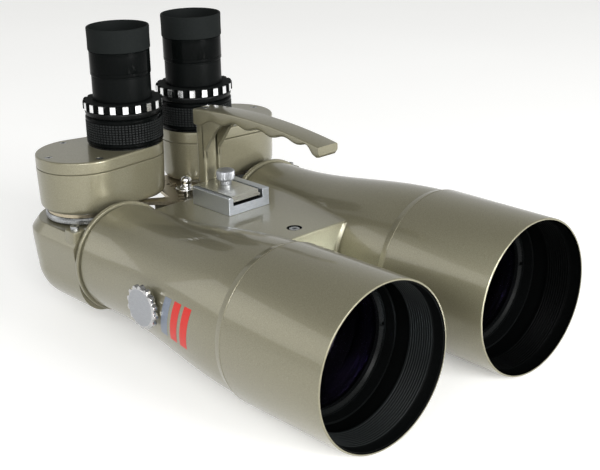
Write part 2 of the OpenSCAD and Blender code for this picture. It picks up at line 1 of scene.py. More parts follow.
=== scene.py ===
"""Giant right-angle binoculars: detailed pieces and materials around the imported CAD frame.

Sizes are in millimetres in the optical frame, where y counts back from the hood rims and z
counts up from the tube axes. place() turns them into metres in the CAD frame.
"""

import math

import bmesh
import bpy
from mathutils import Matrix, Vector


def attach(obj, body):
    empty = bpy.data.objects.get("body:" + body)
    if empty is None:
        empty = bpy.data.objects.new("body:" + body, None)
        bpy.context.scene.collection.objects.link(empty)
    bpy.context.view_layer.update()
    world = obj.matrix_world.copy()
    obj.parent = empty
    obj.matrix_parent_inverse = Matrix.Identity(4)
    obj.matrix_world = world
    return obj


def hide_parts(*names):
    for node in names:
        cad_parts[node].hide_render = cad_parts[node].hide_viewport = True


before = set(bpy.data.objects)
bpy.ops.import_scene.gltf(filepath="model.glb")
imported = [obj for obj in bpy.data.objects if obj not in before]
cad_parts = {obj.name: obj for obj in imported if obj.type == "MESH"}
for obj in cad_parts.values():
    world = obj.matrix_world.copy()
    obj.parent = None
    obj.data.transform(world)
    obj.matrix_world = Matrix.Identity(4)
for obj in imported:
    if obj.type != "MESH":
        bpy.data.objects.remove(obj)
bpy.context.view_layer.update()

# The frame's origin lies RIM_Y behind the hood rims and AXIS_Z below the tube axes.
RIM_Y = 175.0
AXIS_Z = 51.2
TUBE_X = 66.85
SIDES = (("right", -1), ("left", 1))

BARREL_FRONT_R = 49.65
BARREL_REAR_R = 36.8
BELL_FRONT = 80.0
BELL_LENGTH = 145.0
SEAM_Y = 243.0

DECK_Z = 29.5
DECK_FRONT = 127.0
DECK_REAR = 239.5
SKIRT_X = 34.0
SKIRT_Z = -44.0
FRONT_SCREW = (-3.0, 141.5)
HANDLE_BOLT_Y = 231.85
SHOE_FRONT = 189.5
SHOE_REAR = 229.0
SHOE_SCREW_Y = 214.0
LOCK_Y = 259.0

HOUSING_R = 38.0
TURRET_Y = 288.0
TURRET_R = 32.2
TURRET_EYE_R = 26.5
REST_ANGLE = math.radians(4.4)
EYE_REACH = 35.17
CLAMP_R = 28.0

KNOB_Y = 161.0
KNOB_Z = 2.0
KNOB_R = 14.3


def place(x, y, z):
    """Optical millimetres to frame metres."""
    return Vector((x, y - RIM_Y, z + AXIS_Z)) * 0.001


# --- frames for turned and swept pieces: each maps local millimetres to the optical frame ---


def tube_frame(side):
    """Local x, y about the tube axis and h along it, back from the rim."""
    return lambda a, b, h: (side * TUBE_X + a, h, b)


def upright_frame(cx, cy):
    """Local x, y about a vertical axis."""
    return lambda a, b, h: (cx + a, cy + b, h)


def knob_frame(side):
    """Local h runs outward from the tube axis through a side knob."""
    return lambda a, b, h: (side * (TUBE_X + h), KNOB_Y + a, KNOB_Z + b)


def housing_frame(side):
    """Local x outward from the tube axis, with y and z as they are."""
    return lambda a, b, h: (side * (TUBE_X + a), b, h)


def turret_frame(side):
    """Local x points from the turret axis to its eyepiece."""
    c, s = math.cos(REST_ANGLE), math.sin(REST_ANGLE)

    def to_optical(a, b, h):
        x, y = a * c + b * s, -a * s + b * c
        return (side * TUBE_X - side * x, TURRET_Y + y, h)

    return to_optical


def eyepiece_frame(side):
    """Local x, y about the eyepiece axis."""
    turret = turret_frame(side)
    return lambda a, b, h: turret(EYE_REACH + a, b, h)


# --- profiles ---


def rounded(points, closed=True, steps=4):
    """Rounds the corners of an outline of (x, y, radius), and returns plain (x, y) points."""
    out = []
    count = len(points)
    for i, p in enumerate(points):
        r = p[2] if len(p) > 2 else 0
        if r <= 0 or (not closed and i in (0, count - 1)):
            out.append((p[0], p[1]))
            continue
        here = Vector(p[:2])
        before = Vector(points[i - 1][:2]) - here
        after = Vector(points[(i + 1) % count][:2]) - here
        if before.length < 1e-6 or after.length < 1e-6:
            out.append((p[0], p[1]))
            continue
        half = before.angle(after) / 2
        reach = min(r / math.tan(half), before.length * 0.49, after.length * 0.49)
        r = reach * math.tan(half)
        start = here + before.normalized() * reach
        end = here + after.normalized() * reach
        inward = (before.normalized() + after.normalized()).normalized()
        centre = here + inward * (r / math.sin(half))
        a0 = math.atan2(start.y - centre.y, start.x - centre.x)
        a1 = math.atan2(end.y - centre.y, end.x - centre.x)
        turn = (a1 - a0 + math.pi) % (2 * math.pi) - math.pi
        for k in range(steps + 1):
            a = a0 + turn * k / steps
            out.append((centre.x + r * math.cos(a), centre.y + r * math.sin(a)))
    return out


# --- mesh building ---


class Mesh:
    """Collects faces in the optical frame and makes one object of them."""

    def __init__(self, to_optical=None):
        self.points = []
        self.faces = []
        self.slots = []
        self.to_optical = to_optical or (lambda a, b, h: (a, b, h))

    def point(self, a, b, h):
        self.points.append(place(*self.to_optical(a, b, h)))
        return len(self.points) - 1

    def face(self, corners, slot=0):
        self.faces.append(corners)
        self.slots.append(slot)

    def grid(self, rows, slot=0, wrap=True, wrap_rows=False, skip=()):
        """Joins rows of points with quads. slot is a number or a function of (row, column)."""
        index = [[self.point(*p) for p in row] for row in rows]
        if wrap_rows:
            index.append(index[0])
        for i in range(len(index) - 1):
            a, b = index[i], index[i + 1]
            n = len(a)
            for j in range(n if wrap else n - 1):
                k = (j + 1) % n
                if (i, j) not in skip:
                    self.face((a[j], a[k], b[k], b[j]), slot(i, j) if callable(slot) else slot)
        return index

    def socket(self, index, rows, cols, centre, radius, depth):
        """Fills a gap left in a flat grid with a face that has a round hole, and the hole's wall."""
        (i0, i1), (j0, j1) = rows, cols
        loop = [(i0, j) for j in range(j0, j1)] + [(i, j1) for i in range(i0, i1)]
        loop += [(i1, j) for j in range(j1, j0, -1)] + [(i, j0) for i in range(i1, i0, -1)]
        corners = [index[i][j] for i, j in loop]
        where = [self.points[c] * 1000 for c in corners]
        angles = [math.atan2(p.y + RIM_Y - centre[1], p.x - centre[0]) for p in where]
        h = where[0].z - AXIS_Z
        fine, marks = [], []
        parts = 4
        for k, a in enumerate(angles):
            turn = (angles[(k + 1) % len(angles)] - a + math.pi) % (2 * math.pi) - math.pi
            marks.append(len(fine))
            fine += [a + turn * q / parts for q in range(parts)]
        rings = []
        for r, z in ((radius + 0.25, h), (radius, h - 0.25), (radius, h - depth)):
            rings.append([self.point(centre[0] + r * math.cos(a), centre[1] + r * math.sin(a), z)
                          for a in fine])
        total = len(fine)
        for k, c in enumerate(corners):
            arc = [rings[0][(marks[k] + q) % total] for q in range(parts, -1, -1)]
            self.face([c, corners[(k + 1) % len(corners)]] + arc)
        for low, high in zip(rings, rings[1:]):
            for q in range(total):
                self.face((low[q], low[(q + 1) % total], high[(q + 1) % total], high[q]), 1)
        self.cap(rings[-1], 1)

    def cap(self, row, slot=0):
        """Closes a row of points with one face."""
        self.face(list(row), slot)

    def turned(self, profile, segments=96, closed=True, slot=0):
        """Turns (radius, height) points about the local h axis."""
        rows = []
        for r, h in profile:
            r = max(r, 0.0)
            rows.append([(r * math.cos(t), r * math.sin(t), h)
                         for t in (2 * math.pi * j / segments for j in range(segments))])
        return self.grid(rows, slot, wrap=True, wrap_rows=closed)

    def prism(self, outline, h0, h1, slot=0, end_slot=None):
        """A straight prism of an outline of (a, b), with both ends closed."""
        rows = [[(a, b, h) for a, b in outline] for h in (h0, h1)]
        index = self.grid(rows, slot)
        self.cap(index[0], slot if end_slot is None else end_slot)
        self.cap(index[1], slot if end_slot is None else end_slot)

    def make(self, name, materials, sharp=35):
        """Makes the object. Edges sharper than the angle stay sharp."""
        data = bpy.data.meshes.new(name)
        data.from_pydata([tuple(p) for p in self.points], [], self.faces)
        data.polygons.foreach_set("material_index", self.slots)
        bm = bmesh.new()
        bm.from_mesh(data)
        bmesh.ops.remove_doubles(bm, verts=bm.verts, dist=5e-7)
        bmesh.ops.dissolve_degenerate(bm, edges=bm.edges, dist=1e-7)
        bmesh.ops.recalc_face_normals(bm, faces=bm.faces)
        bm.to_mesh(data)
        bm.free()
        for m in materials:
            data.materials.append(m)
        data.polygons.foreach_set("use_smooth", [True] * len(data.polygons))
        data.set_sharp_from_angle(angle=math.radians(sharp))
        data.update()
        obj = bpy.data.objects.new(name, data)
        bpy.context.scene.collection.objects.link(obj)
        return obj


def soften(obj, width, segments=3, angle=35):
    """A bevel on every edge sharper than the angle, in millimetres."""
    m = obj.modifiers.new("soft edges", "BEVEL")
    m.width = width * 0.001
    m.segments = segments
    m.limit_method = "ANGLE"
    m.angle_limit = math.radians(angle)
    m.harden_normals = True
    m.use_clamp_overlap = True
    return obj


def bore(obj, to_optical, holes):
    """Cuts round holes of (a, b, radius, low, high) out of a closed piece."""
    for a, b, radius, low, high in holes:
        cutter = Mesh(lambda u, v, h, a=a, b=b: to_optical(a + u, b + v, h))
        cutter.turned([(0.0, low), (radius, low), (radius, high), (0.0, high)], 48, closed=False)
        tool = cutter.make("cutter", [])
        m = obj.modifiers.new("bore", "BOOLEAN")
        m.operation = "DIFFERENCE"
        m.solver = "EXACT"
        m.object = tool
        bpy.context.view_layer.update()
        graph = bpy.context.evaluated_depsgraph_get()
        cut = bpy.data.meshes.new_from_object(obj.evaluated_get(graph))
        obj.modifiers.remove(m)
        old, name = obj.data, obj.data.name
        obj.data = cut
        bpy.data.meshes.remove(old)
        cut.name = name
        bpy.data.objects.remove(tool)
    obj.data.polygons.foreach_set("use_smooth", [True] * len(obj.data.polygons))
    obj.data.set_sharp_from_angle(angle=math.radians(40))
    return obj


def fit_out(obj, body, slot, *nodes):
    """Puts a piece on its body and hides the CAD nodes that it stands for. The slot argument is not
    used.
    """
    # Large flat ends need weighted normals, or their shading runs out from the rim.
    if any(len(f.vertices) > 4 for f in obj.data.polygons) and "soft edges" not in obj.modifiers:
        m = obj.modifiers.new("even shading", "WEIGHTED_NORMAL")
        m.keep_sharp = True
    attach(obj, body)
    if nodes:
        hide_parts(*nodes)
    return obj


# --- materials ---


def new_material(name):
    m = bpy.data.materials.new(name)
    m.use_nodes = True
    nodes, links = m.node_tree.nodes, m.node_tree.links
    shader = nodes["Principled BSDF"]
    where = nodes.new("ShaderNodeTexCoord").outputs["Object"]
    return m, nodes, links, shader, where


def noise(nodes, links, where, scale, detail=2.0, rough=0.5, stretch=None):
    """A noise value, over coordinates that may be stretched per axis."""
    if stretch:
        mapping = nodes.new("ShaderNodeMapping")
        mapping.inputs["Scale"].default_value = stretch
        links.new(where, mapping.inputs["Vector"])
        where = mapping.outputs["Vector"]
    n = nodes.new("ShaderNodeTexNoise")
    n.inputs["Scale"].default_value = scale
    n.inputs["Detail"].default_value = detail
    n.inputs["Roughness"].default_value = rough
    links.new(where, n.inputs["Vector"])
    return n.outputs["Fac"]


def ramp(nodes, links, value, stops):
    """A colour from a value, by stops of (position, colour)."""
    r = nodes.new("ShaderNodeValToRGB")
    while len(r.color_ramp.elements) < len(stops):
        r.color_ramp.elements.new(0.5)
    for e, (at, colour) in zip(r.color_ramp.elements, stops):
        e.position = at
        e.color = (*colour, 1.0)
    links.new(value, r.inputs["Fac"])
    return r.outputs["Color"]


def spread(nodes, links, value, low, high):
    """Maps the middle of a noise's range to low and high."""
    m = nodes.new("ShaderNodeMapRange")
    m.inputs["From Min"].default_value = 0.3
    m.inputs["From Max"].default_value = 0.7
    m.inputs["To Min"].default_value = low
    m.inputs["To Max"].default_value = high
    links.new(value, m.inputs["Value"])
    return m.outputs["Result"]


def bump(nodes, links, shader, value, strength, distance_mm):
    b = nodes.new("ShaderNodeBump")
    b.inputs["Strength"].default_value = strength
    b.inputs["Distance"].default_value = distance_mm * 0.001
    links.new(value, b.inputs["Height"])
    links.new(b.outputs["Normal"], shader.inputs["Normal"])


def metal_paint(name, dark, light, roughness, coat):
    """Metallic lacquer: fine flakes under a clear gloss coat, with a faint orange peel."""
    m, nodes, links, s, where = new_material(name)
    flakes = noise(nodes, links, where, 2600.0, 1.0)
    links.new(ramp(nodes, links, flakes, [(0.3, dark), (0.7, light)]), s.inputs["Base Color"])
    s.inputs["Metallic"].default_value = 0.5
    links.new(spread(nodes, links, noise(nodes, links, where, 900.0, 3.0),
                     roughness - 0.03, roughness + 0.04), s.inputs["Roughness"])
    s.inputs["Coat Weight"].default_value = coat
    s.inputs["Coat Roughness"].default_value = 0.05
    s.inputs["Coat IOR"].default_value = 1.5
    bump(nodes, links, s, noise(nodes, links, where, 420.0, 1.0), 0.12, 0.03)
    return m


def metal(name, dark, light, rough, grain, scale):
    """Bare metal. grain stretches its noise, as turning or brushing does."""
    m, nodes, links, s, where = new_material(name)
    n = noise(nodes, links, where, scale, 4.0, 0.6, grain)
    links.new(ramp(nodes, links, n, [(0.3, dark), (0.7, light)]), s.inputs["Base Color"])
    s.inputs["Metallic"].default_value = 1.0
    links.new(spread(nodes, links, n, rough[0], rough[1]), s.inputs["Roughness"])
    bump(nodes, links, s, n, 0.25, 0.01)
    return m


def plain(name, dark, light, rough, scale, bump_mm=0.02, strength=0.3, coat=0.0, specular=0.5):
    """Anodising, rubber or ink: a matt colour with a fine grain."""
    m, nodes, links, s, where = new_material(name)
    n = noise(nodes, links, where, scale, 4.0, 0.6)
    links.new(ramp(nodes, links, n, [(0.3, dark), (0.7, light)]), s.inputs["Base Color"])
    links.new(spread(nodes, links, n, rough[0], rough[1]), s.inputs["Roughness"])
    s.inputs["Coat Weight"].default_value = coat
    s.inputs["Specular IOR Level"].default_value = specular
    bump(nodes, links, s, n, strength, bump_mm)
    return m


def glass(name, colour, tint, transmission, ior, coat):
    """Clear glass with a tinted anti-reflection coating."""
    m, nodes, links, s, where = new_material(name)
    n = noise(nodes, links, where, 60.0, 2.0)
    links.new(ramp(nodes, links, n, [(0.35, colour), (0.65, tuple(c * 1.1 for c in colour))]),
              s.inputs["Base Color"])
    s.inputs["Roughness"].default_value = 0.02
    s.inputs["IOR"].default_value = ior
    s.inputs["Transmission Weight"].default_value = transmission
    s.inputs["Specular Tint"].default_value = (*tint, 1.0)
    s.inputs["Coat Weight"].default_value = coat
    s.inputs["Coat Roughness"].default_value = 0.02
    s.inputs["Coat Tint"].default_value = (*tint, 1.0)
    return m


PAINT = metal_paint("olive_champagne_lacquer",
                    (0.150, 0.139, 0.090), (0.222, 0.209, 0.142), 0.33, 0.55)
ANODISED = plain("black_anodised", (0.0030, 0.0034, 0.0034), (0.0055, 0.0060, 0.0060),
                 (0.22, 0.32), 1500.0, specular=0.08)
GLOSS_BLACK = plain("gloss_black", (0.0014, 0.0018, 0.0018), (0.0026, 0.0031, 0.0030),
                    (0.10, 0.16), 900.0, 0.005, 0.1, specular=0.03)
SATIN_BLACK = plain("satin_black", (0.0022, 0.0027, 0.0026), (0.0040, 0.0047, 0.0046),
                    (0.30, 0.38), 1500.0, specular=0.03)
BAFFLE = plain("baffle_black", (0.0015, 0.0018, 0.0018), (0.0030, 0.0034, 0.0034),
               (0.35, 0.5), 1400.0, specular=0.04)
HOOD_BAND = plain("hood_band_black", (0.005, 0.0062, 0.0062), (0.009, 0.0105, 0.0105),
                  (0.40, 0.52), 1800.0, specular=0.10)
RUBBER = plain("cup_rubber", (0.0050, 0.0062, 0.0060), (0.0085, 0.0100, 0.0098),
               (0.62, 0.8), 1100.0, 0.05, 0.4, specular=0.06)
GRIP = plain("grip_rubber", (0.0065, 0.0078, 0.0078), (0.0120, 0.0138, 0.0138),
             (0.5, 0.68), 1100.0, 0.04, 0.4, specular=0.2)
CHROME = metal("bright_steel", (0.70, 0.70, 0.70), (0.85, 0.85, 0.84), (0.08, 0.16), None, 900.0)
KNOB_RIM = metal("knob_rim", (0.40, 0.40, 0.41), (0.54, 0.54, 0.54), (0.08, 0.15), None, 900.0)
LAND = metal("clamp_land", (0.80, 0.81, 0.82), (0.93, 0.93, 0.93), (0.22, 0.32), (1, 1, 12), 700.0)
STEEL = metal("screw_steel", (0.28, 0.29, 0.30), (0.44, 0.45, 0.46), (0.24, 0.38), None, 1200.0)
SATIN = metal("satin_aluminium", (0.46, 0.49, 0.54), (0.60, 0.63, 0.68),
              (0.34, 0.46), (1, 14, 14), 260.0)
FROSTED = metal("frosted_aluminium", (0.30, 0.31, 0.33), (0.42, 0.43, 0.45),
                (0.42, 0.55), (1, 1, 12), 500.0)
PALE = metal("pale_aluminium", (0.52, 0.52, 0.49), (0.66, 0.66, 0.62),
             (0.26, 0.38), (1, 14, 14), 260.0)
BRONZE = metal("sector_bronze", (0.38, 0.33, 0.24), (0.52, 0.46, 0.34), (0.3, 0.42), None, 700.0)
LENS = glass("coated_glass", (0.30, 0.30, 0.36), (0.50, 0.30, 0.85), 1.0, 1.3, 0.12)
PRISM = glass("prism_glass", (0.85, 0.92, 0.93), (0.9, 0.95, 1.0), 0.95, 1.52, 0.12)
DECAL_RED = plain("decal_red", (0.46, 0.008, 0.003), (0.54, 0.012, 0.005),
                  (0.30, 0.38), 900.0, 0.004, 0.1, coat=0.1, specular=0.25)
DECAL_GREY = plain("decal_grey", (0.13, 0.155, 0.20), (0.17, 0.195, 0.24),
                   (0.30, 0.38), 900.0, 0.004, 0.1, coat=0.1, specular=0.25)

CAD_LOOKS = {
    "base_plate": PAINT, "assembly_screws": STEEL,
    "elbow_prism": PRISM, "prism_cradle": ANODISED, "bearing_ring": STEEL, "lens_cell": BAFFLE,
    "retaining_ring": ANODISED, "objective_elements": LENS, "tube_baffles": BAFFLE,
    "cover_screws": STEEL, "rhomboid_prism": PRISM, "ipd_sector": BRONZE, "focuser_base": ANODISED,
    "drawtube": ANODISED, "eyepiece_lenses": LENS, "knob_stud": STEEL,
}


def dress_cad_nodes():
    """Gives every CAD node a material, and smooth shading between its sharp edges."""
    for name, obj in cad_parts.items():
        key = name.replace("right_", "").replace("left_", "")
        look = CAD_LOOKS.get(key, PAINT)
        obj.data.materials.clear()
        obj.data.materials.append(look)
        obj.data.polygons.foreach_set("use_smooth", [True] * len(obj.data.polygons))
        obj.data.set_sharp_from_angle(angle=math.radians(30))


# --- casting ---


def bell_r(y):
    """Outer radius of a barrel, which narrows along half a cosine wave."""
    t = min(max((y - BELL_FRONT) / BELL_LENGTH, 0.0), 1.0)
    return BARREL_REAR_R + (BARREL_FRONT_R - BARREL_REAR_R) * (1 + math.cos(math.pi * t)) / 2


def make_barrels():
    wall = 3
    outer = [(49.4, 66.0), (BARREL_FRONT_R, 66.3)]
    outer += [(bell_r(y), y) for y in (BELL_FRONT + BELL_LENGTH * i / 60 for i in range(61))]
    outer += [(BARREL_REAR_R, 240.0), (BARREL_REAR_R, SEAM_Y)]
    inner = [(33.8, SEAM_Y)]
    inner += [(bell_r(y) - wall, y) for y in (225 - 141 * i / 30 for i in range(31))]
    inner += [(46.0, 78.0), (46.0, 66.0)]
    for name, side in SIDES:
        m = Mesh(tube_frame(side))
        m.turned(outer + inner, 160, slot=lambda i, j: 0 if i < len(outer) - 1 else 1)
        fit_out(m.make(name + "_barrel_casting", [PAINT, BAFFLE], 30), "chassis", "body_paint",
                name + "_barrel")


def deck_half_section(y, radius):
    """Top of the deck from the mid-plane out to the barrel, with a hollow fillet between them."""
    r = bell_r(y)
    reach = math.sqrt((r + radius) ** 2 - (DECK_Z + radius) ** 2)
    fx, fz = TUBE_X - reach, DECK_Z + radius
    start = -math.pi / 2
    end = math.atan2(-fz, TUBE_X - fx)
    arc = [(fx + radius * math.cos(a), fz + radius * math.sin(a))
           for a in (start + (end - start) * i / 12 for i in range(13))]
    last = arc[-1]
    inward = Vector((TUBE_X - last[0], -last[1])).normalized() * 1.5
    return [(0.0, DECK_Z)] + [(arc[0][0] * k / 6, DECK_Z) for k in range(1, 6)] + arc \
        + [(last[0] + inward.x, last[1] + inward.y)]


def make_deck():
    """Deck plate with its skirt, the bridge behind it, and the bosses of the side knobs."""
    m = Mesh()
    edge, steps = 1.1, 60
    quarter = [math.pi / 2 * i / 4 for i in range(5)]
    ys = [DECK_FRONT + edge * (1 - math.cos(a)) for a in quarter]
    drops = [edge * (1 - math.sin(a)) for a in quarter]
    ys += [DECK_FRONT + edge + (DECK_REAR - DECK_FRONT - 2 * edge) * i / steps
           for i in range(1, steps + 1)]
    drops += [0.0] * steps
    ys += [DECK_REAR - edge + edge * math.sin(a) for a in quarter[1:]]
    drops += [edge * (1 - math.cos(a)) for a in quarter[1:]]
    rows = []
    for y, drop in zip(ys, drops):
        fillet = 1.6 + 6.4 * min(1.0, (y - DECK_FRONT) / 60.0)
        half = deck_half_section(y, fillet)
        rows.append([(-x, y, z - drop) for x, z in reversed(half)]
                    + [(x, y, z - drop) for x, z in half[1:]])
    # A gap in the flat top, around the socket of the front screw. Column 19 is the mid-plane.
    gap_front = next(i for i, y in enumerate(ys) if y > 135.5)
    gap_rear = next(i for i, y in enumerate(ys) if y > 147.0)
    gap = {(i, j) for i in range(gap_front, gap_rear) for j in (17, 18, 19)}
    index = m.grid(rows, wrap=False, skip=gap)
    m.socket(index, (gap_front, gap_rear), (17, 20), FRONT_SCREW, 4.9, 3.6)
    # Front and rear walls: grids between the barrels that curve outward to meet each of them.
    curve = 2.6
    wall_top = DECK_Z - edge
    levels = [wall_top] + [wall_top - (wall_top - SKIRT_Z) * i / 24 for i in range(1, 25)]
    for y_wall, outward in ((DECK_FRONT, -1), (DECK_REAR, 1)):
        wall = []
        for z in levels:
            r = bell_r(y_wall)
            side_x = TUBE_X - math.sqrt(max(r * r - z * z, 0.0)) if abs(z) < r else SKIRT_X
            side_x = min(side_x, SKIRT_X) if z < 0 else side_x
            line = []
            for i in range(33):
                x = (-1 + 2 * i / 32) * (side_x + 0.6)
                near = min(max(0.0, (abs(x) - (side_x - curve)) / curve), 1.0)
                reach = outward * curve * (1 - math.sqrt(1 - near * near)) if z > -30 else 0
                line.append((x, y_wall + reach, z))
            wall.append(line)
        m.grid(wall, wrap=False)
    # Skirt sides below the barrels, and the underside.
    for s in (-1, 1):
        m.grid([[(s * SKIRT_X, y, z) for z in (SKIRT_Z, -30.0, -10.0, 10.0)]
                for y in (DECK_FRONT, DECK_REAR)], wrap=False)
    m.face([m.point(x, y, SKIRT_Z) for x, y in ((-SKIRT_X, DECK_FRONT), (SKIRT_X, DECK_FRONT),
                                                (SKIRT_X, DECK_REAR), (-SKIRT_X, DECK_REAR))])
    fit_out(m.make("deck_plate", [PAINT, GLOSS_BLACK], 40), "chassis", "body_paint", "deck_casting")

    bridge = Mesh()
    bridge.prism(rounded([(-24, 236, 1), (24, 236, 1), (24, 270, 5), (-24, 270, 5)], steps=6),
                 12, 24)
    fit_out(soften(bridge.make("rear_bridge_casting", [PAINT]), 1.2), "chassis", "body_paint",
            "deck_casting")
    boss_profile = rounded([(4.3, 36), (12.5, 38.5), (9.6, 42.0, 2), (9.0, 44.0, 0.5), (4.3, 44.0)])
    for name, side in SIDES:
        boss = Mesh(knob_frame(side))
        boss.turned(boss_profile, 64)
        fit_out(boss.make(name + "_knob_boss", [PAINT]), "chassis", "body_paint", name + "_barrel")


def make_flange_rings():
    profile = rounded([(33, 243), (36.0, 243.0, 0.1), (36.0, 244.6, 0.1), (38.1, 244.6, 0.3),
                       (38.6, 245.1, 0.4), (38.6, 246.4, 0.5), (37.6, 248.9, 0.4), (33, 249)],
                      steps=5)
    for name, side in SIDES:
        m = Mesh(tube_frame(side))
        m.turned(profile, 144)
        fit_out(m.make(name + "_seam_flange", [PAINT], 40), "chassis", "body_paint",
                name + "_flange_ring")


def make_rear_housings():
    top, bottom, back_y, front_y = 20.5, -36.0, 290.0, 249.0
    for name, side in SIDES:
        m = Mesh(housing_frame(side))
        rows = []

        def outline(half_x, half_y, z):
            half_x, half_y = max(half_x, 2.0), max(half_y, 2.0)
            line = [(-half_x, front_y + (back_y - front_y) * i / 10, z) for i in range(10)]
            line += [(half_x * math.cos(a), back_y + half_y * math.sin(a), z)
                     for a in (math.pi * (1 - i / 40) for i in range(41))]
            line += [(half_x, back_y - (back_y - front_y) * i / 10, z) for i in range(1, 11)]
            return line

        for inset, z in ((37.0, top + 0.4), (6.2, top + 0.4), (5.6, top + 0.3), (5.2, top)):
            rows.append(outline(HOUSING_R - inset, HOUSING_R - inset, z))
        rows.append(outline(HOUSING_R - 0.8, HOUSING_R - 0.8, top - 5.6))
        rows.append(outline(HOUSING_R - 0.25, HOUSING_R - 0.25, top - 6.6))
        for i in range(1, 9):
            z = top - 6.6 - (top - 6.6 + 10.0) * i / 8
            lean = 2.2 * ((top - 6.6 - z) / 24.0) ** 1.3
            rows.append(outline(HOUSING_R - lean, HOUSING_R - lean, z))
        for i in range(1, 25):
            a = math.pi / 2 * i / 24
            z = -10.0 + (bottom + 10.0) * math.sin(a)
            lean = 2.2
            rows.append(outline(HOUSING_R - lean - 21.0 * (1 - math.cos(a)),
                                HOUSING_R - lean - 25.0 * (1 - math.cos(a)), z))
        rows.append(outline(2, 2, bottom))
        index = m.grid(rows)
        m.cap(index[0])
        m.cap(index[-1])
        fit_out(m.make(name + "_rear_casting", [PAINT], 28), "chassis", "body_paint",
                name + "_rear_housing")
        # The small boss that the stop screw stands in, on the outer side.
        boss = Mesh(housing_frame(side))
        boss.prism(rounded([(26, 249.6, 1), (36.2, 249.6, 1.5), (36.2, 261.4, 2), (26, 261.4, 2)]),
                   13, 25)
        fit_out(soften(boss.make(name + "_stop_boss", [PAINT]), 0.8), "chassis", "body_paint",
                name + "_rear_housing")


# --- turrets ---


def between(p, q, count):
    """Points that cut the line from p to q into equal parts, without its ends."""
    return [(p[0] + (q[0] - p[0]) * t, p[1] + (q[1] - p[1]) * t)
            for t in (i / count for i in range(1, count))]


def turret_outline(inset):
    """Two arcs, about the turret axis and the eyepiece axis, joined by tangents."""
    r1, r2 = TURRET_R - inset, TURRET_EYE_R - inset
    tilt = math.asin((TURRET_R - TURRET_EYE_R) / EYE_REACH)
    tangent = math.pi / 2 - tilt

    def by_turret(a):
        return (r1 * math.cos(a), r1 * math.sin(a))

    def by_eyepiece(a):
        return (EYE_REACH + r2 * math.cos(a), r2 * math.sin(a))

    line = [by_turret(tangent + (math.pi + 2 * tilt) * i / 56) for i in range(57)]
    line += between(by_turret(-tangent), by_eyepiece(-tangent), 10)
    line += [by_eyepiece(-tangent + (math.pi - 2 * tilt) * i / 40) for i in range(41)]
    line += between(by_eyepiece(tangent), by_turret(tangent), 10)
    return line


def outline_stack(m, levels):
    """A closed solid from turret outlines at levels of (inset, height)."""
    index = m.grid([[(a, b, z) for a, b in turret_outline(inset)] for inset, z in levels])
    m.cap(index[0])
    m.cap(index[-1])


def arc_levels(inset0, z0, radius, low_to_high):
    """Levels of a rounded edge: from the flat face inset by radius to the wall."""
    out = []
    for i in range(7):
        a = math.pi / 2 * i / 6
        inset = inset0 + radius * (1 - math.sin(a))
        z = z0 + (radius * (1 - math.cos(a)) if low_to_high else -radius * (1 - math.cos(a)))
        out.append((inset, z))
    return out


def make_turrets():
    """Shell, lid with its three screw wells, and the neck that turns in the bearing."""
    for name, side in SIDES:
        unit = name + "_turret_unit"
        body = Mesh(turret_frame(side))
        levels = arc_levels(0.9, 29.0, 4.0, True)
        levels += [(0.9 - 0.9 * i / 8, 33.0 + 24.6 * i / 8) for i in range(1, 9)]
        levels += [(0.05, 58.1), (0.45, 58.4)]
        outline_stack(body, levels)
        fit_out(body.make(name + "_turret_shell", [PAINT], 40), unit, "body_paint",
                name + "_turret")
        cover = Mesh(turret_frame(side))
        levels = [(0.45, 58.5), (0.05, 58.9), (0.0, 59.4), (0.0, 62.0), (0.0, 65.4)]
        levels += list(reversed(arc_levels(0.0, 67.0, 1.3, False)))[1:]
        outline_stack(cover, levels)
        lid = cover.make(name + "_turret_lid", [PAINT], 40)
        well_angles = [math.radians(a) for a in (92, 180, 268)]
        places = [(25.8 * math.cos(a), 25.8 * math.sin(a)) for a in well_angles]
        bore(lid, turret_frame(side), [(a, b, 2.8, 64.8, 70.0) for a, b in places])
        fit_out(lid, unit, "body_paint", name + "_turret_cover")
        neck = Mesh(turret_frame(side))
        neck.turned([(22.0, 17.0), (22.0, 29.2), (19.0, 29.2), (19.0, 17.0)], 96)
        fit_out(neck.make(name + "_turret_neck", [PAINT]), unit, "body_paint", name + "_turret")


# --- focusers and eyepieces ---


def make_collar(name, side):
    """Focusing collar with rubber pads between two rims."""
    m = Mesh(eyepiece_frame(side))
    m.turned(rounded([(21.1, 68.2, 0.3), (26.3, 68.2, 0.7), (26.9, 69.2, 0.3), (26.9, 70.6, 0.2),
                      (26.2, 70.9, 0.1), (26.2, 85.2, 0.1), (26.9, 85.5, 0.2), (26.9, 87.0, 0.4),
                      (26.2, 88.0, 0.5), (21.1, 88.0, 0.3)], steps=3), 144)
    columns, rows = 72, 8
    pitch_z = 13.9 / rows
    step = 2 * math.pi / columns
    for i in range(columns):
        for j in range(rows):
            z0 = 71.1 + j * pitch_z
            a0 = i * step
            ring = []
            for r, inset_a, inset_z in ((26.15, 0.12, 0.20), (26.75, 0.17, 0.34), (26.9, 0.24, 0.48)):
                a1, a2 = a0 + step * inset_a, a0 + step * (1 - inset_a)
                z1, z2 = z0 + inset_z, z0 + pitch_z - inset_z
                ring.append([(r * math.cos(a), r * math.sin(a), z)
                             for a, z in ((a1, z1), (a2, z1), (a2, z2), (a1, z2))])
            index = m.grid(ring, 1)
            m.cap(index[-1], 1)
    fit_out(m.make(name + "_focus_grip", [GLOSS_BLACK, GRIP], 30), name + "_collar", "grip_rubber",
            name + "_focus_collar")


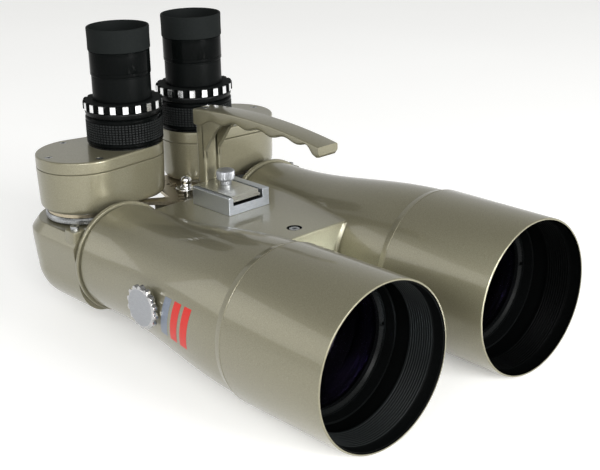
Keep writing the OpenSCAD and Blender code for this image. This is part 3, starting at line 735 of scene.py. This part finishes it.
def make_drawtube(name, side):
    """Sliding tube with the flange that shows above the collar."""
    m = Mesh(eyepiece_frame(side))
    m.turned(rounded([(15.95, 63), (18, 63), (18, 88.3, 0.2), (26.0, 88.3, 0.5), (26.6, 89.4, 0.6),
                      (27.0, 91.4, 0.5), (26.6, 92.5, 0.4), (19, 92.5, 0.2), (19, 98.4, 0.4),
                      (15.95, 98.7, 0.2)], steps=3), 128)
    fit_out(m.make(name + "_holder_tube", [ANODISED], 30), name + "_holder", "black_anodised",
            name + "_drawtube")


def make_clamp_ring(name, side):
    """Ring of bright lands between black round notches."""
    m = Mesh(eyepiece_frame(side))
    lands, per, notch_depth = 20, 10, 1.9
    outline, kinds = [], []
    step = 2 * math.pi / lands
    half_notch = 0.285
    for i in range(lands):
        centre = i * step
        for k in range(per):
            t = -half_notch + 2 * half_notch * k / (per - 1)
            depth = notch_depth * math.sqrt(max(0.0, 1 - (t / half_notch) ** 2))
            outline.append((centre + t * step, CLAMP_R - depth))
            kinds.append("notch" if k < per - 1 else "land")
        for k in (1, 2):
            t = half_notch + (1 - 2 * half_notch) * k / 3
            outline.append((centre + t * step, CLAMP_R))
            kinds.append("land")
    n = len(outline)

    def ring(inset, z):
        return [((r - inset) * math.cos(a), (r - inset) * math.sin(a), z) for a, r in outline]

    def flat(radius, z):
        return [(radius * math.cos(a), radius * math.sin(a), z) for a, r in outline]

    rows = [flat(19.05, 92.6), ring(0.5, 92.6), ring(0.0, 93.0), ring(0.0, 97.9), ring(0.3, 98.25),
            flat(25.9, 98.45), flat(25.4, 98.5), flat(19.6, 98.5), flat(19.05, 98.2)]

    def slot(i, j):
        if i in (1, 2, 3):
            return 0 if kinds[j % n] == "land" else 1
        return 2 if i in (4, 5, 6) else 1

    m.grid(rows, slot, wrap=True, wrap_rows=True)
    fit_out(m.make(name + "_clamp_collar", [LAND, GLOSS_BLACK, RUBBER], 30), name + "_clamp",
            "satin_aluminium", name + "_clamp_ring")


def make_eyepiece(name, side):
    """Barrel in two black finishes, and the rubber cup."""
    unit = name + "_eyepiece_unit"
    m = Mesh(eyepiece_frame(side))
    low = rounded([(13.3, 72, 0.2), (15.6, 72, 0.3), (15.85, 72.6, 0.2), (15.85, 98.7, 0.1),
                   (20.3, 98.7, 0.3), (20.5, 99.3, 0.2), (20.5, 115.0, 0.2), (20.2, 115.4, 0.1),
                   (20.2, 116.0, 0.1)], False, 3)
    high = rounded([(20.2, 116.0, 0.1), (21.0, 116.2, 0.3), (21.1, 116.8, 0.2), (21.1, 118.4, 0.1),
                    (20.95, 118.6, 0.05), (20.95, 118.9, 0.05), (21.1, 119.1, 0.1),
                    (21.1, 132.8, 0.3), (20.6, 133.15, 0.2), (19.8, 133.2, 0.1), (19.8, 136.0, 0.2),
                    (14.3, 136.0, 0.4), (14.3, 127.0, 0.1), (13.3, 127.0, 0.1), (13.3, 72.0, 0)],
                   False, 3)
    profile = low + high[1:]
    split = len(low) - 1
    m.turned(profile, 128, slot=lambda i, j: 0 if i < split else 1)
    fit_out(m.make(name + "_eyepiece_barrel", [SATIN_BLACK, GLOSS_BLACK], 30), unit,
            "eyepiece_black", name + "_eyepiece")
    cup = Mesh(eyepiece_frame(side))
    cup.turned(rounded([(19.85, 133.25, 0.1), (21.5, 133.25, 0.4), (21.62, 134.4, 0.2),
                        (21.55, 141.0, 2.0), (21.75, 148.2, 0.5), (21.5, 149.1, 0.35),
                        (20.7, 149.1, 0.35), (20.2, 148.4, 0.5), (19.9, 141.0, 2.0),
                        (19.7, 137.2, 0.4), (19.85, 136.6, 0.1)], steps=4), 128)
    fit_out(cup.make(name + "_rubber_cup", [RUBBER], 40), unit, "cup_rubber", name + "_eyecup")


# --- dew shields ---


def make_shields():
    """Hood tubes and the ridged liners in their mouths."""
    outside = rounded([(50.1, 0.0), (50.9, 0.0, 0.3), (51.2, 0.4, 0.3), (51.2, 80.7, 0.08),
                       (50.85, 80.95), (50.85, 81.35), (51.15, 81.55, 0.05), (49.95, 86.5, 0.1),
                       (49.8, 86.7)], False, 4)
    # Fault: the loop gives this name to the liner's profile too, so the second hood tube carries
    # a hidden copy of the liner in place of its plain inner wall.
    inside = [(49.72, 86.6), (49.7, 0.6)]
    for name, side in SIDES:
        unit = name + "_shield"
        m = Mesh(tube_frame(side))
        m.turned(outside + inside, 192, slot=lambda i, j: 0 if i < len(outside) - 1 else 1)
        fit_out(m.make(name + "_hood_tube", [PAINT, BAFFLE], 40), unit, "body_paint",
                name + "_dew_shield")
        ridges = 10
        front, back = 8.2, 23.6
        outer = 49.62
        inside = [(outer, 0.9), (49.2, 0.9), (49.15, 7.4), (48.95, 7.9)]
        for i in range(ridges):
            y = front + (back - front) * i / ridges
            r = 48.75 - 2.6 * i / ridges
            inside += [(r, y), (r, y + 0.5), (r - 0.32, y + 0.75), (r - 0.32, y + 1.2)]
        inside += [(46.0, back), (46.0, 24.0), (outer, 24.0)]
        b = Mesh(tube_frame(side))
        b.turned(inside, 192, slot=lambda i, j: 1 if i < 4 else 0)
        fit_out(b.make(name + "_hood_liner", [HOOD_BAND, BAFFLE], 25), unit, "baffle_black",
                name + "_ridged_baffle")


# --- handle, shoe, knobs ---


def handle_top(y):
    """A shallow arch."""
    return 97.0 - 6.2 * (abs(y - 186.0) / 74.0) ** 2


def handle_under(y):
    """Finger grooves, with a drop at the rear and a rounded heel at the front."""
    t = min(max((124.5 - y) / 8.0, 0.0), 1.0)
    heel = 6.6 * t * t * (3 - 2 * t) - 2.6 * (max(114.6 - y, 0.0) / 2.6) ** 2
    return (89.9 + 1.3 * math.cos(2 * math.pi * (y - 120.0) / 24.5)
            - 5.5 * (max(y - 180.0, 0.0) / 50.0) ** 2 - heel)


def make_handle():
    """Grip, the post it stands on, and the two ribs in the corner between them."""
    front, rear, half = 112.0, 236.0, 8.5
    m = Mesh()
    steps = 96
    rows = []
    for i in range(steps + 1):
        y = front + (rear - front) * i / steps
        top, under = handle_top(y), handle_under(y)
        section = rounded([(-half, under, 1.8), (half, under, 1.8), (half, top, 1.1),
                           (-half, top, 1.1)], steps=3)
        rows.append([(x, y, z) for x, z in section])
    index = m.grid(rows)
    m.cap(index[0])
    m.cap(index[-1])
    grip = m.make("handle_grip", [PAINT], 35)
    bore(grip, upright_frame(0.0, HANDLE_BOLT_Y), [(0.0, 0.0, 4.1, 91.0, 110.0)])
    soften(grip, 0.9, 3, 60)
    fit_out(grip, "chassis", "body_paint", "handle")

    post = Mesh()
    outline = rounded([(-7.5, 226.5, 1.2), (-4.5, 226.5, 0.6), (-4.5, 229.4, 0.8),
                       (4.5, 229.4, 0.8), (4.5, 226.5, 0.6), (7.5, 226.5, 1.2),
                       (7.5, 235.0, 1.5), (-7.5, 235.0, 1.5)], steps=3)
    post.prism(outline, DECK_Z, 88.0)
    fit_out(soften(post.make("handle_post", [PAINT]), 0.5), "chassis", "body_paint", "handle")
    for s, label in ((-1, "right"), (1, "left")):
        rib = Mesh(lambda a, b, h, s=s: (s * h, a, b))
        rib.prism(rounded([(229, 60, 0), (229, 90, 0), (208, 90, 0), (208, 86.8, 1), (215, 81, 6),
                           (226.5, 66, 3), (226.5, 60, 0)], steps=4), 4.5, 7.5)
        fit_out(soften(rib.make("handle_rib_" + label, [PAINT]), 0.5), "chassis", "body_paint",
                "handle")


def make_shoe():
    """Shoe block with its channel, the clamp plate in it, and the thumbscrew."""
    m = Mesh(lambda a, b, h: (a, h, b))
    z = DECK_Z
    outline = [(-18, z), (18, z), (18, z + 12.5), (12, z + 12.5), (12, z + 6.5), (-14, z + 6.5),
               (-14, z + 11.2), (-16.4, z + 12.9), (-18, z + 12.2)]
    # The channel's floor and its left inner wall take black anodising as painted shade: a dark finish
    # standing for the deep shadow inside the channel under the plate.
    m.prism(outline, SHOE_FRONT, SHOE_REAR, lambda i, j: 1 if j in (4, 5) else 0, 0)
    fit_out(soften(m.make("finder_shoe_block", [SATIN, ANODISED]), 0.35, 2), "chassis",
            "satin_aluminium", "finder_shoe")
    p = Mesh(lambda a, b, h: (a, h, b))
    outline = [(-15.6, z + 13.4), (-13.6, z + 8.8), (9.9, z + 8.8), (9.9, z + 10.4),
               (8.3, z + 10.4), (8.3, z + 13.4)]
    p.prism(outline, SHOE_FRONT - 0.01, SHOE_REAR + 0.01)
    fit_out(soften(p.make("shoe_jaw_plate", [PALE]), 0.25, 2), "shoe_clamp", "satin_aluminium",
            "shoe_clamp_plate")

    t = Mesh(upright_frame(0.0, SHOE_SCREW_Y))
    teeth, tooth_depth = 36, 0.32
    head_r = 6.4
    base = rounded([(0.0, 32.7), (2.1, 32.7, 0.2), (2.25, 33.2, 0.1), (2.25, 42.95, 0.1),
                    (3.9, 42.95, 0.3), (3.9, 46.2, 0.6), (5.4, 46.2, 0.3), (5.7, 46.9, 0.2)],
                   False, 3)
    t.turned(base, 72, closed=False)
    rows = []
    for inset, zz in ((0.5, 46.9), (0.1, 47.2), (0.0, 47.6), (0.0, 52.2), (0.1, 52.6), (0.6, 53.1)):
        row = []
        for j in range(2 * teeth):
            r = head_r - inset - (tooth_depth if j % 2 else 0.0)
            row.append((r * math.cos(math.pi * j / teeth), r * math.sin(math.pi * j / teeth), zz))
        rows.append(row)
    t.grid(rows)
    t.turned(rounded([(5.8, 53.1), (5.3, 53.5, 0.4), (0.0, 53.6)], False, 3), 72, closed=False)
    t.turned([(5.7, 46.9), (5.9, 46.9)], 72, closed=False)
    fit_out(t.make("finder_thumbscrew", [FROSTED], 28), "shoe_screw", "satin_aluminium",
            "shoe_thumbscrew")


def make_lock_knob():
    """Stem, washer, waisted neck and dome, turned in one."""
    m = Mesh(upright_frame(0.0, LOCK_Y))
    z = 29.15
    quarter = [math.pi / 2 * i / 8 for i in range(9)]
    dome = [(4.0 * math.cos(a), z + 6.2 + 4.0 * math.sin(a)) for a in quarter]
    m.turned(rounded([(0.0, 14.0), (2.5, 14.0, 0.2), (2.5, z, 0.1), (8.0, z, 0.4),
                      (8.0, z + 1.4, 0.5), (4.6, z + 1.5, 0.3), (4.4, z + 2.2, 0.4),
                      (3.5, z + 2.8, 0.4), (3.5, z + 3.4, 0.4), (4.0, z + 4.2, 0.4)],
                     False, 3) + dome, 72, closed=False)
    fit_out(m.make("swing_lock_knob", [CHROME], 40), "ipd_lock", "bright_steel", "ipd_lock_knob")


def make_side_knobs():
    """Scalloped discs with a frosted face."""
    for name, side in SIDES:
        m = Mesh(knob_frame(side))
        count, per, scallop = 14, 10, 0.33
        outline = []
        step = 2 * math.pi / count
        for i in range(count):
            for k in range(per):
                t = k / per - 0.5
                depth = 1.5 * max(0.0, 1 - (t / scallop) ** 2) ** 0.8 if abs(t) < scallop else 0.0
                outline.append((i * step + t * step, KNOB_R - depth))
        h0, h1 = 44.2, 48.4

        def ring(inset, h):
            return [((r - inset) * math.cos(a), (r - inset) * math.sin(a), h) for a, r in outline]

        def flat(radius, h):
            return [(radius * math.cos(a), radius * math.sin(a), h) for a, r in outline]

        rows = [flat(4.1, h0), ring(0.7, h0), ring(0.0, h0 + 0.6), ring(0.0, h1 - 0.9),
                ring(0.25, h1 - 0.45), flat(12.2, h1 - 0.12), flat(11.9, h1 - 0.02),
                flat(11.5, h1), flat(4.0, h1), flat(0.01, h1)]
        m.grid(rows, lambda i, j: 1 if i >= 6 else 0)
        fit_out(m.make(name + "_knob_disc", [KNOB_RIM, FROSTED], 30), name + "_knob",
                "satin_aluminium", name + "_side_knob")


def make_decal():
    """Plain slanted stripes, in red and grey, wrapped on the outer side of the right barrel."""
    for label, look, stripes in (("red", DECAL_RED, ((130.0, 7.5), (119.0, 7.5))),
                                 ("grey", DECAL_GREY, ((141.0, 7.5),))):
        m = Mesh(tube_frame(-1))
        for y0, width in stripes:
            rows = []
            for i in range(25):
                a = math.radians(196 - 34 * i / 24)
                lean = 7.0 * i / 24
                row = []
                for k in range(5):
                    y = y0 - lean + width * k / 4
                    r = bell_r(y) + 0.06
                    row.append((r * math.cos(a), r * math.sin(a), y))
                rows.append(row)
            m.grid(rows, wrap=False)
        fit_out(m.make("barrel_stripes_" + label, [look]), "chassis", "body_paint")


# --- stage ---


def make_stage():
    floor = Mesh()
    size, n = 9000.0, 8
    at = [-size + 2 * size * i / n for i in range(n + 1)]
    floor.grid([[(x, y, -AXIS_Z - 0.6) for x in at] for y in at], wrap=False)
    m, nodes, links, s, where = new_material("pale_floor")
    links.new(ramp(nodes, links, noise(nodes, links, where, 3.0),
                   [(0.3, (0.90, 0.90, 0.90)), (0.7, (0.92, 0.92, 0.92))]), s.inputs["Base Color"])
    s.inputs["Roughness"].default_value = 0.9
    s.inputs["Specular IOR Level"].default_value = 0.1
    s.inputs["Emission Color"].default_value = (1.0, 1.0, 1.0, 1.0)
    s.inputs["Emission Strength"].default_value = 0.24
    obj = floor.make("stage_floor", [m])


def towards(at, target):
    return (Vector(target) - Vector(at)).to_track_quat("-Z", "Y").to_euler()


def area_light(name, at, width, height, power):
    """A soft box that faces the middle of the object."""
    data = bpy.data.lights.new(name, "AREA")
    data.shape = "RECTANGLE"
    data.size = width
    data.size_y = height
    data.energy = power
    obj = bpy.data.objects.new(name, data)
    bpy.context.scene.collection.objects.link(obj)
    obj.location = at
    obj.rotation_euler = towards(at, (0.0, 0.0, 0.08))


def make_lights():
    area_light("softbox_left", (-2.0, -0.7, 1.3), 1.2, 1.2, 15.0)
    area_light("softbox_camera", (-1.2, -1.9, 1.1), 1.0, 1.0, 34.0)
    area_light("softbox_front", (0.3, -2.2, 0.5), 0.9, 0.7, 60.0)
    area_light("softbox_back_left", (-2.4, 2.4, 1.25), 2.4, 1.6, 16.0)
    # A narrow beam between the hoods, onto the deck's front wall.
    data = bpy.data.lights.new("deck_front_spot", "SPOT")
    data.energy = 760.0
    data.spot_size = math.radians(2.2)
    data.spot_blend = 0.6
    data.color = (0.84, 0.91, 1.0)
    data.shadow_soft_size = 0.03
    spot = bpy.data.objects.new("deck_front_spot", data)
    bpy.context.scene.collection.objects.link(spot)
    spot.location = (0.05, -1.1, 0.26)
    spot.rotation_euler = towards(spot.location, (0.0, -0.048, 0.052))
    # The world is brightest at the horizon and dims towards the top.
    world = bpy.data.worlds.new("studio")
    bpy.context.scene.world = world
    world.use_nodes = True
    nodes, links = world.node_tree.nodes, world.node_tree.links
    back = nodes["Background"]
    where = nodes.new("ShaderNodeTexCoord").outputs["Generated"]
    split = nodes.new("ShaderNodeSeparateXYZ")
    links.new(where, split.inputs["Vector"])
    colour = ramp(nodes, links, split.outputs["Z"],
                  [(0.0, (0.90, 0.90, 0.90)), (0.06, (0.66, 0.66, 0.65)),
                   (0.35, (0.60, 0.60, 0.58)), (0.7, (0.42, 0.42, 0.40)),
                   (1.0, (0.26, 0.26, 0.25))])
    links.new(colour, back.inputs["Color"])
    back.inputs["Strength"].default_value = 1.0


def make_camera():
    azimuth, pitch, roll = math.radians(-42.6), math.radians(20.35), math.radians(-1.35)
    right = Vector((math.cos(azimuth), math.sin(azimuth), 0.0))
    back = Vector((math.sin(azimuth) * math.cos(pitch), -math.cos(azimuth) * math.cos(pitch),
                   math.sin(pitch)))
    up = back.cross(right)
    rolled_right = right * math.cos(roll) + up * math.sin(roll)
    rolled_up = up * math.cos(roll) - right * math.sin(roll)
    data = bpy.data.cameras.new("camera")
    data.sensor_width = 36.0
    data.lens = 72.874
    data.clip_start = 0.01
    data.clip_end = 100.0
    cam = bpy.data.objects.new("camera", data)
    bpy.context.scene.collection.objects.link(cam)
    turn = Matrix((rolled_right, rolled_up, back)).transposed().to_4x4()
    cam.matrix_world = Matrix.Translation((-0.50552, -0.58523, 0.35241)) @ turn
    bpy.context.scene.camera = cam


make_camera()
dress_cad_nodes()
make_barrels()
make_deck()
make_flange_rings()
make_rear_housings()
make_turrets()
for side_name, side_sign in SIDES:
    make_collar(side_name, side_sign)
    make_drawtube(side_name, side_sign)
    make_clamp_ring(side_name, side_sign)
    make_eyepiece(side_name, side_sign)
make_shields()
make_handle()
make_shoe()
make_lock_knob()
make_side_knobs()
make_decal()
make_stage()
make_lights()
bpy.context.scene.view_settings.view_transform = "Standard"
